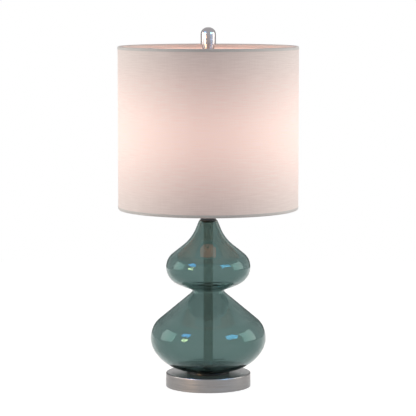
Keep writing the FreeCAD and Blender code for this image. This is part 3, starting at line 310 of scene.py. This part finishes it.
# %% Frosted bulb and the glow of the drum
GLOW_REACH, CLOTH_GLOW, LINER_GLOW = 120 * MM, 400 * MM, 440 * MM
SEAM_X, SEAM_WIDTH, SEAM_EDGE = -25 * MM, 12 * MM, 0.4 * MM
SEAM_LOSS = 0.2


def painted_drum_glow(tree, warm, strength, middle):
    """Emission warm times strength / (1 + (h / r)^2)^1.5, less SEAM_LOSS where the drum's seam is doubled."""
    place = add(tree, "ShaderNodeTexCoord").outputs["Object"]
    parts = add(tree, "ShaderNodeSeparateXYZ", {"Vector": place})
    x, y, z = parts.outputs
    rise = add(tree, "ShaderNodeMath", {0: z, 1: middle}, operation="SUBTRACT")
    share = add(tree, "ShaderNodeMath", {0: rise.outputs[0], 1: GLOW_REACH}, operation="DIVIDE").outputs[0]
    square = add(tree, "ShaderNodeMath", {0: share, 1: share, 2: 1.0}, operation="MULTIPLY_ADD")
    fall = add(tree, "ShaderNodeMath", {0: square.outputs[0], 1: -1.5}, operation="POWER")
    aside = add(tree, "ShaderNodeMath", {0: x, 1: SEAM_X}, operation="SUBTRACT")
    near = add(tree, "ShaderNodeMath", {0: aside.outputs[0]}, operation="ABSOLUTE")
    # painted shade: the glow is a fifth weaker behind, where the seam is doubled
    seam = add(
        tree, "ShaderNodeMapRange",
        {"Value": near.outputs[0], "From Min": SEAM_WIDTH / 2 + SEAM_EDGE,
         "From Max": SEAM_WIDTH / 2 - SEAM_EDGE, "To Min": 0.0, "To Max": SEAM_LOSS},
    )
    behind = add(tree, "ShaderNodeMath", {0: y, 1: 0.0}, operation="GREATER_THAN")
    loss = add(tree, "ShaderNodeMath", {0: seam.outputs[0], 1: behind.outputs[0]}, operation="MULTIPLY")
    kept = add(tree, "ShaderNodeMath", {0: 1.0, 1: loss.outputs[0]}, operation="SUBTRACT")
    glow = add(tree, "ShaderNodeMath", {0: fall.outputs[0], 1: kept.outputs[0]}, operation="MULTIPLY")
    total = add(tree, "ShaderNodeMath", {0: glow.outputs[0], 1: strength}, operation="MULTIPLY")
    shader = tree.nodes[PRINCIPLED]
    shader.inputs["Emission Color"].default_value = linear(warm)
    tree.links.new(total.outputs[0], shader.inputs["Emission Strength"])


frosted_bulb, tree = material(
    "frosted_bulb_glass", Base_Color="#F4EEE6", Roughness=0.55, Emission_Color="#FFCEB8",
    Emission_Strength=0.9,
)
relief(tree, grain(tree, 0.9), 0.02, 0.3)
print(f"the drum's glow halves about {GLOW_REACH * 0.77 * 1000:.0f} mm above and below its brightest ring")

# %% [markdown]
# ## Linen
# The drum's cloth is natural white linen in a plain weave. Linen yarn is uneven: here and there a thicker
# stretch, a slub, runs along a thread, and this is what the eye reads as linen. A picture of cloth could be
# wrapped round the drum, but waves for the threads and stretched noise for the slubs stay sharp from near
# by. They follow the cloth through its UV map, which is in metres of cloth: U round the drum and V along its
# height. Real threads are 0.5 mm apart, and here they are 0.9 mm so that they can show. Slubs are 1.5 mm
# high and about 30 mm long. A wave texture repeats every pi / 10 divided by its scale, which gives the
# scale for the threads.

# %% Linen
THREAD, SLUB = 0.9, 1.5
LINEN_LIGHT, LINEN_DARK = "#DEDDDB", "#D3D1CF"


def linen_cloth(name, glow_colour, glow_strength):
    """Plain weave: two sets of sine bands THREAD apart, crossed with slubs, for the colour and the relief."""
    made, tree = material(name, Roughness=0.92, Sheen_Weight=0.12, Sheen_Roughness=0.5)
    cloth = add(tree, "ShaderNodeUVMap", uv_map="cloth").outputs[0]
    bands = [
        add(
            tree, "ShaderNodeTexWave",
            {"Vector": cloth, "Scale": math.pi / 10 / (THREAD * MM), "Distortion": 1.2, "Detail": 1.0},
            bands_direction=way,
        ).outputs["Fac"]
        for way in "XY"
    ]
    weave = add(tree, "ShaderNodeMath", {0: bands[0], 1: bands[1]}, operation="MULTIPLY").outputs[0]
    weft = grain(tree, SLUB, cloth, (0.05, 1, 1), detail=3.0, roughness=0.6)
    warp = grain(tree, SLUB, cloth, (1, 0.05, 1), detail=2.0, roughness=0.6)
    slubs = add(tree, "ShaderNodeMath", {0: weft, 1: warp, 2: weft}, operation="MULTIPLY_ADD").outputs[0]
    vary(tree, "Base Color", slubs, LINEN_DARK, LINEN_LIGHT, 0.45, 1.05)
    height = add(tree, "ShaderNodeMath", {0: weave, 1: 0.5, 2: slubs}, operation="MULTIPLY_ADD").outputs[0]
    relief(tree, height, 0.18)
    # painted glow: the bulb's light through the cloth, drawn as the cloth's own emission
    painted_drum_glow(tree, glow_colour, glow_strength, CLOTH_GLOW)
    return made


# painted glow: the linen glows warm, and the hems faintly
linen = linen_cloth("natural_white_linen", "#FFCBBC", 0.54)
hem_linen = linen_cloth("folded_linen_hem", "#FFC8BA", 0.05)
print(f"linen: threads {THREAD} mm apart")

# %% [markdown]
# ## The drum's liner and the felt
# Inside the linen is a stiff sheet of styrene that the cloth is glued to. It is matt white and lets light
# through, so from inside it is the brightest surface, warm from the bulb: that warmth is painted on it as a
# glow. Under the base is black wool felt: short fibres pressed into a sheet, which take nearly all the light
# and give a faint sheen at a slant.

# %% Styrene liner and wool felt
styrene, tree = material("matt_styrene_liner", Base_Color="#E9E4DC", Roughness=0.7)
# painted glow: the bulb's light on the liner, drawn as its own emission
painted_drum_glow(tree, "#FFC8BA", 0.67, LINER_GLOW)
relief(tree, grain(tree, 14.0, detail=1.0), 0.08, 0.3)

black_felt, tree = material("black_wool_felt", Roughness=0.98, Sheen_Weight=0.3, Sheen_Roughness=0.6)
fuzz = grain(tree, 1.1, detail=5.0, roughness=0.7)
vary(tree, "Base Color", fuzz, "#131313", "#2B2B2A")
relief(tree, fuzz, 0.5, 0.9)
print(f"materials so far: {len(bpy.data.materials)}")

# %% [markdown]
# ## Give every solid its finish
# Each solid came with a plain slot, named for what it is made of. One table says which finish each slot gets,
# and a second one gives a few pieces their own, where one slot covers parts that were finished differently.

# %% Slots to finishes
finish_of_slot = {
    "nickel": brushed_nickel_with_painted_shade, "chrome": polished_nickel, "blackened": black_oxide, "tube": cover_tube,
    "zinc": zinc_plate, "brass": spun_brass, "aluminium": rolled_aluminium, "iron": cast_iron,
    "black_plastic": black_plastic, "gasket": black_rubber, "fibre": fibre_board,
    "painted_wire": white_paint, "bulb_black": black_glass, "bulb_glass": frosted_bulb,
    "glass": teal_glass, "linen": linen, "hem": hem_linen, "shade_liner": styrene, "felt": black_felt,
}
own_finish = {
    "finial": satin_nickel_with_painted_shade, "shade_seat": satin_nickel_with_painted_shade, "neck_cap": chrome_painted_dark, "harp": harp_nickel,
    "harp_saddle": harp_nickel, "harp_ferrule_left": harp_nickel, "harp_ferrule_right": harp_nickel,
}
for name, node in nodes.items():
    node.material_slots[0].material = own_finish.get(name, finish_of_slot[slot_of[name]])
print(f"{len(finish_of_slot)} slots on {len(nodes)} solids, {len(own_finish)} of them with their own finish")

# %% [markdown]
# ## Surfaces from a profile
# The cloth pieces are all round, so each is one profile carried round the axis. A profile is a closed line of
# (radius, height) points, and a grid of points is worked out at once: profile points along one way, angles
# along the other. Each square of the grid becomes a face. The profile runs up the outer side and down the
# inner one, which turns every face outwards. A Screw modifier could turn a profile as well, but the grid
# also gives the UV map in metres of cloth, and lets a seam or a wave change round the axis.

# %% A profile carried round the axis
CREASE = math.radians(50)


def round_piece(name, radius, height, angles, finish, body):
    """Point (i, j) is (radius_ij cos angle_j, radius_ij sin angle_j, height_ij). Both ways of the grid close.
    The UV map "cloth" holds metres of cloth: the middle radius times the angle, and the way along the
    profile."""
    radius, height = np.broadcast_arrays(radius, height)
    rows, columns = radius.shape
    points = np.stack([radius * np.cos(angles), radius * np.sin(angles), height], -1).reshape(-1, 3)
    row, column = np.meshgrid(np.arange(rows), np.arange(columns), indexing="ij")
    corner_row = np.stack([row, row, row + 1, row + 1], -1).reshape(-1, 4)
    corner_column = np.stack([column, column + 1, column + 1, column], -1).reshape(-1, 4)
    faces = corner_row % rows * columns + corner_column % columns
    mesh = bpy.data.meshes.new(name)
    mesh.from_pydata(points.tolist(), [], faces.tolist())
    outward, upward = np.diff(radius[:, 0], append=radius[0, 0]), np.diff(height[:, 0], append=height[0, 0])
    along = np.concatenate([[0], np.cumsum(np.hypot(outward, upward))])
    turn = np.append(angles, angles[0] + 2 * math.pi) * radius.mean()
    cloth = np.stack([turn[corner_column], along[corner_row]], -1)
    mesh.uv_layers.new(name="cloth").data.foreach_set("uv", cloth.ravel().astype(np.float32))
    mesh.shade_smooth()
    mesh.set_sharp_from_angle(angle=CREASE)
    mesh.materials.append(finish)
    piece = bpy.data.objects.new(name, mesh)
    bpy.context.scene.collection.objects.link(piece)
    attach(piece, body)
    print(f"{name}: {rows} by {columns} points")
    return piece


def angles_with(extra, count=288):
    """Even angles round the axis, and some more of them where a seam needs a crisp edge."""
    even = np.arange(count) * 2 * math.pi / count
    return np.unique(np.concatenate([even, np.asarray(extra) % (2 * math.pi)]))


def smooth_step(value, low, high):
    """0 below low, 1 above high and 3t^2 - 2t^3 between them."""
    t = np.clip((value - low) / (high - low), 0, 1)
    return t * t * (3 - 2 * t)


def waves_round(angles, waves):
    """The sum of sin(count times angle, plus phase) over the pairs (count, phase) in waves."""
    return sum(np.sin(count * angles + phase) for count, phase in waves)


print(f"an even ring has {len(angles_with([]))} points")

# %% [markdown]
# ## The linen drum
# A drum shade is one strip of linen on styrene, rolled into a tube and glued where its ends lap by 12 mm at
# the back. It is flat cloth held stretched, so no simulation is needed: the tube is drawn directly, with the
# lap's step. The darker upright stripe at the lap through the lit cloth is painted shade: the painted glow is
# a fifth weaker there.

# %% The linen drum
shade_low, shade_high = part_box("shade_bottom_hem")[0][2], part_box("shade_top_hem")[1][2]
LINEN_OUT, LINEN_IN = 140.0 * MM, 139.32 * MM
HEM_COVER = 3.8 * MM  # the hem's leg covers the linen from here to the rim
LAP_STEP, LAP_EDGE = 0.35 * MM, SEAM_EDGE / LINEN_OUT
LEVELS = 40
lap_middle = math.pi - math.acos(-SEAM_X / LINEN_OUT)
lap_half = SEAM_WIDTH / 2 / LINEN_OUT

lap_marks = [
    lap_middle + side * (lap_half + shift * LAP_EDGE) for side in (-1, 1) for shift in (-1, -0.5, 0, 0.5, 1)
]
drum_angles = angles_with(lap_marks)
lap = 1 - smooth_step(np.abs(drum_angles - lap_middle), lap_half - LAP_EDGE, lap_half + LAP_EDGE)
levels = np.linspace(shade_low + HEM_COVER, shade_high - HEM_COVER, LEVELS)[:, None]
outer_face = np.tile(LINEN_OUT + LAP_STEP * lap, (LEVELS, 1))
drum_radius = np.concatenate([outer_face, np.full_like(outer_face, LINEN_IN)])
drum_height = np.concatenate([levels, levels[::-1]])
drum = round_piece("linen_drum", drum_radius, drum_height, drum_angles, linen, "shade")
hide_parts("shade_fabric")
print(f"the lap lies {math.degrees(lap_middle):.0f} degrees round from +X")

# %% [markdown]
# ## The rolled hems
# At each rim the linen's edge is covered by a strip rolled over the steel rim wire and glued down inside. The
# strip is a path with a thickness: up the outside, half round over the wire, and down the inside towards the
# liner. A curve with a round bevel would look like piping, so the strip's two faces are drawn as one closed
# profile. Hand rolling leaves it slightly uneven, a tenth of a millimetre, which three slow waves round the
# rim stand for.

# %% The rolled hems
CLOTH = 0.6 * MM
WIRE_MIDDLE = 138.1 * MM
ROLL = 1.72 * MM  # the wire's radius, 0.12 mm of glue and half the cloth
LEG_END, LEG_FLARE = 4.6 * MM, np.array([0.16, 0.12, 0.06, 0]) * MM  # the leg stands off a little at its end
INSIDE_DROP, INSIDE_REACH = 4.4 * MM, 1.6 * MM  # how far the strip goes down inside, and out to the liner
HEM_WAVE, HEM_WAVES = 0.03 * MM, ((7, 0.4), (17, 1.9), (31, 4.0))  # the waves' height, counts and phases


def thick_path(across, up, thickness):
    """A closed profile: the path moved out by half the thickness along its normal, and back inside it."""
    slope = np.stack([np.gradient(across), np.gradient(up)])
    slope /= np.hypot(*slope)
    side = np.stack([slope[1], -slope[0]]) * thickness / 2
    return (
        np.concatenate([across + side[0], (across - side[0])[::-1]]),
        np.concatenate([up + side[1], (up - side[1])[::-1]]),
    )


def rolled_hem(name, rim, upward, replaced):
    """The strip's middle, as radius and depth below the rim: a leg, a half circle and an S to the liner."""
    roll_middle = ROLL + CLOTH / 2
    bend = np.linspace(0, math.pi, 15)
    leg = np.linspace(LEG_END, roll_middle, 5)[:-1]
    inside = np.linspace(0, 1, 9)[1:]
    across = np.concatenate([
        WIRE_MIDDLE + ROLL + LEG_FLARE,
        WIRE_MIDDLE + ROLL * np.cos(bend),
        WIRE_MIDDLE - ROLL + INSIDE_REACH * smooth_step(inside, 0.1, 1),
    ])
    depth = np.concatenate([leg, roll_middle - ROLL * np.sin(bend), roll_middle + inside * INSIDE_DROP])
    out, down = thick_path(across, -depth, CLOTH)
    turn = angles_with([])
    radius = out[:, None] + waves_round(turn, HEM_WAVES) * HEM_WAVE
    height = np.repeat(down[:, None], len(turn), 1)
    if not upward:
        radius, height = radius[::-1], -height[::-1]
    hem = round_piece(name, radius, rim + height, turn, hem_linen, "shade")
    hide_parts(replaced)
    return hem, float(np.hypot(np.diff(across), np.diff(depth)).sum())


top_hem, strip_width = rolled_hem("rolled_top_hem", shade_high, True, "shade_top_hem")
bottom_hem, _ = rolled_hem("rolled_bottom_hem", shade_low, False, "shade_bottom_hem")
print(f"hem strip {strip_width * 1000:.1f} mm wide")

# %% [markdown]
# ## The felt under the base
# A thin disc of black wool felt keeps the table from scratches. It is die-cut, so its edge is upright but
# furry, and the weight presses it flat. Hair could be grown on it, but at 1.5 mm to a pixel fine waves along
# the edge do as well. It is one grid too, with rings from the middle to the edge on both faces and a half
# round between them.

# %% The felt under the base
felt_low, felt_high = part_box("base_felt")
FELT_RADIUS, FELT_HOLE, FELT_ROUND = felt_high[0], 0.05 * MM, 0.5 * MM
FUR_DEPTH, FUR_WAVE, FUR_WAVES = 0.18 * MM, 0.06 * MM, ((23, 0.0), (41, 1.0), (67, 2.2))
rings_out = np.linspace(FELT_HOLE, FELT_RADIUS - FELT_ROUND, 24)
edge = np.linspace(-math.pi / 2, math.pi / 2, 7)[1:-1]
round_edge = FELT_RADIUS - FELT_ROUND + FELT_ROUND * np.cos(edge)
felt_radius = np.concatenate([rings_out, round_edge, rings_out[::-1]])
felt_share = np.concatenate([np.zeros_like(rings_out), 0.5 + 0.5 * np.sin(edge), np.ones_like(rings_out)])
felt_height = felt_low[2] + felt_share * (felt_high[2] - felt_low[2])
turn = angles_with([], 180)
fur = waves_round(turn, FUR_WAVES) * FUR_WAVE
at_edge = smooth_step(felt_radius, FELT_RADIUS - 2 * FELT_ROUND, FELT_RADIUS)[:, None]
felt = round_piece(
    "felt_disc", felt_radius[:, None] - (FUR_DEPTH - fur) * at_edge, felt_height[:, None], turn,
    black_felt, "root",
)
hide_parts("base_felt")
print(f"felt {(felt_high[2] - felt_low[2]) * 1000:.1f} mm thick")

# %% [markdown]
# ## The camera
# The picture was taken with a long lens from 3.3 m away, a little above the shade. The camera stands straight
# in front at that height and is pitched down by 6 degrees. The sensor is 36 mm wide, as in a full-frame
# camera.

# %% The camera
camera = bpy.data.objects.new("camera", bpy.data.cameras.new("camera"))
camera.data.lens, camera.data.sensor_width = 187.04, 36.0
camera.location = (-0.0004, -3.3449, 0.6308)
camera.rotation_euler = (math.radians(84.016), 0, 0)
bpy.context.scene.collection.objects.link(camera)
bpy.context.scene.camera = camera
print(f"camera {-camera.location.y:.2f} m in front, {camera.location.z:.2f} m up")

# %% [markdown]
# ## A white world
# The picture's background is pure white. A white card behind the lamp would do for one view only. So the
# world is white where the camera sees it, directly, in a mirror or through glass, and it lights the lamp
# with a plain third of that.

# %% The world
WHITE = linear("#FFFFFF")
WORLD_LIGHT = 0.335


def background_rays(tree):
    """1 for a ray from the camera, from a mirror or through glass, and 0 for one that only lights."""
    rays = add(tree, "ShaderNodeLightPath").outputs
    seen = rays["Is Camera Ray"]
    for kind in ("Is Transmission Ray", "Is Glossy Ray"):
        seen = add(tree, "ShaderNodeMath", {0: seen, 1: rays[kind]}, operation="MAXIMUM").outputs[0]
    return seen


world = bpy.data.worlds.new("studio")
bpy.context.scene.world = world
world.use_nodes = True
tree = world.node_tree
tree.nodes.clear()
soft = add(tree, "ShaderNodeBackground", {"Color": WHITE, "Strength": WORLD_LIGHT})
white = add(tree, "ShaderNodeBackground", {"Color": WHITE, "Strength": 1.0})
shown = add(tree, "ShaderNodeMixShader", {0: background_rays(tree), 1: soft.outputs[0], 2: white.outputs[0]})
tree.links.new(shown.outputs[0], add(tree, "ShaderNodeOutputWorld").inputs["Surface"])
print(f"the world lights the lamp with {WORLD_LIGHT} of white")

# %% [markdown]
# ## A pale floor
# The floor is pale and plain. It adds white for the same rays as the world does, a little less than full
# white, so that it still darkens where the lamp's shadow falls.

# %% The floor
FLOOR_HALF, FLOOR_WHITE = 1.5, 0.79


def panel(name, corners, finish):
    """A flat four-sided piece of the studio."""
    mesh = bpy.data.meshes.new(name)
    mesh.from_pydata(corners, [], [(0, 1, 2, 3)])
    mesh.materials.append(finish)
    made = bpy.data.objects.new(name, mesh)
    bpy.context.scene.collection.objects.link(made)
    return made


pale_floor = bpy.data.materials.new("pale_floor")
pale_floor.use_nodes = True
tree = pale_floor.node_tree
tree.nodes.clear()
paper = add(tree, "ShaderNodeBsdfDiffuse", {"Color": linear("#C4C4C4")})
glow = add(tree, "ShaderNodeEmission", {"Color": WHITE, "Strength": FLOOR_WHITE})
both = add(tree, "ShaderNodeAddShader", {0: paper.outputs[0], 1: glow.outputs[0]})
mixed = add(tree, "ShaderNodeMixShader", {0: background_rays(tree), 1: paper.outputs[0], 2: both.outputs[0]})
tree.links.new(mixed.outputs[0], add(tree, "ShaderNodeOutputMaterial").inputs["Surface"])

corners = [(x * FLOOR_HALF, y * FLOOR_HALF, 0) for x, y in ((-1, -1), (1, -1), (1, 1), (-1, 1))]
floor = panel("floor", corners, pale_floor)
print(f"floor {2 * FLOOR_HALF:.0f} m square")

# %% [markdown]
# ## Two dark flags
# Glass on a white background loses its outline, so a photographer stands a dark flag behind it at each side.
# The steep edges of the glass and of the finial mirror the flags and turn dark, as they are in the picture.
# Only a mirror sees them here: they stand in no view and shade nothing, so they can stand closer together
# than real ones, which would show at the sides of the picture. Each is a gauze that thins out to plain white
# towards its top and its outer side, so that no hard edge of it shows in the glass.

# %% Two dark flags
FLAG_NEAR, FLAG_FAR, FLAG_TOP = (0.32, 1.5), (1.6, 0.9), 1.4  # metres: x and y of both ends, and the height
FLAG_DARK, THIN_FROM = 0.05, (0.6, 0.4)  # its darkest glow, and the metres out and up where it starts to thin
flag_gauze, tree = material("grey_flag_gauze", Base_Color="#000000", Roughness=1.0, Specular_IOR_Level=0.0,
                            Emission_Color="#FFFFFF")
parts = add(tree, "ShaderNodeSeparateXYZ", {"Vector": add(tree, "ShaderNodeTexCoord").outputs["Object"]})
outward = add(tree, "ShaderNodeMath", {0: parts.outputs[0]}, operation="ABSOLUTE").outputs[0]
thin_outward = add(
    tree, "ShaderNodeMapRange",
    {"Value": outward, "From Min": THIN_FROM[0], "From Max": FLAG_FAR[0], "To Min": FLAG_DARK, "To Max": 1.0},
)
thin_upward = add(
    tree, "ShaderNodeMapRange", {"Value": parts.outputs[2], "From Min": THIN_FROM[1], "From Max": FLAG_TOP}
)
thin = add(
    tree, "ShaderNodeMath", {0: thin_outward.outputs[0], 1: thin_upward.outputs[0]}, operation="MAXIMUM"
)
tree.links.new(thin.outputs[0], tree.nodes[PRINCIPLED].inputs["Emission Strength"])
for name, side in (("flag_left", -1), ("flag_right", 1)):
    near, far = (side * FLAG_NEAR[0], FLAG_NEAR[1]), (side * FLAG_FAR[0], FLAG_FAR[1])
    flag = panel(name, [(*near, 0), (*far, 0), (*far, FLAG_TOP), (*near, FLAG_TOP)], flag_gauze)
    flag.visible_camera = flag.visible_diffuse = flag.visible_transmission = flag.visible_shadow = False
print(f"flags from {FLAG_NEAR[0]} to {FLAG_FAR[0]} m to each side, {FLAG_TOP} m high")

# %% [markdown]
# ## Two softboxes and three small cards
# The bright four-sided patches on both glass balls are reflections. Working each one back to its direction
# gives two square softboxes, one at each side, 1.2 m wide and 2 m away. The small blue and golden patches
# near them are faint cards that only a mirror shows, so they light nothing: their diffuse rays are off.

# %% The softboxes and the cards
LAMP_MIDDLE = Vector((0, 0, 0.25))


def area_light(name, azimuth, elevation, distance, size, colour, watts, mirror_only=False):
    """A rectangle of light at that direction from the lamp's middle: azimuth 0 is the front and 90 is +X."""
    turn, rise = math.radians(azimuth), math.radians(elevation)
    toward = Vector((math.sin(turn) * math.cos(rise), -math.cos(turn) * math.cos(rise), math.sin(rise)))
    data = bpy.data.lights.new(name, "AREA")
    data.shape, data.size, data.size_y = "RECTANGLE", *size
    data.color, data.energy = linear(colour)[:3], watts
    light = bpy.data.objects.new(name, data)
    light.location = LAMP_MIDDLE + toward * distance
    light.rotation_euler = toward.to_track_quat("Z", "Y").to_euler()
    light.visible_camera = False
    if mirror_only:
        light.visible_diffuse = light.visible_transmission = False
    bpy.context.scene.collection.objects.link(light)
    print(f"{name}: {size[0]} by {size[1]} m, {watts} W")


area_light("softbox_left", -90.6, 12.4, 1.96, (1.2, 1.2), "#FFF7EE", 19.4)
area_light("softbox_right", 90.6, 12.4, 1.96, (1.2, 1.2), "#FFF8F0", 19.4)
area_light("blue_card_right", 50, 23.5, 2.0, (0.86, 0.56), "#7CC4FF", 30.0, True)
area_light("blue_card_left", -50, 30, 2.0, (0.66, 0.5), "#64ACFF", 24.0, True)
area_light("gold_card_left", -49, 8, 2.0, (0.45, 0.4), "#FFD09A", 26.0, True)

# %% [markdown]
# ## The bulb in the mirror
# The warm disc on the upper ball is the glow round the bulb, mirrored by the glass. A sphere of light in the
# bulb's place, with an even face and for mirrors alone, stands for it. Its size and height match the disc's.

# %% The bulb's mirror image
HALO_HEIGHT, HALO_RADIUS = 381 * MM, 53 * MM
halo = bpy.data.objects.new("bulb_halo", bpy.data.lights.new("bulb_halo", "POINT"))
halo.data.color, halo.data.energy, halo.data.shadow_soft_size = linear("#FF6E3C")[:3], 0.5, HALO_RADIUS
halo.data.use_soft_falloff = False
halo.location = (0, 0, HALO_HEIGHT)
halo.visible_camera = halo.visible_diffuse = halo.visible_transmission = False
bpy.context.scene.collection.objects.link(halo)
print(f"halo {2 * HALO_RADIUS * 1000:.0f} mm across, {HALO_HEIGHT * 1000:.0f} mm up")

# %% [markdown]
# ## Colour
# The picture is shown as it is worked out, with no film curve.

# %% Finish
bpy.context.scene.view_settings.view_transform = "Standard"
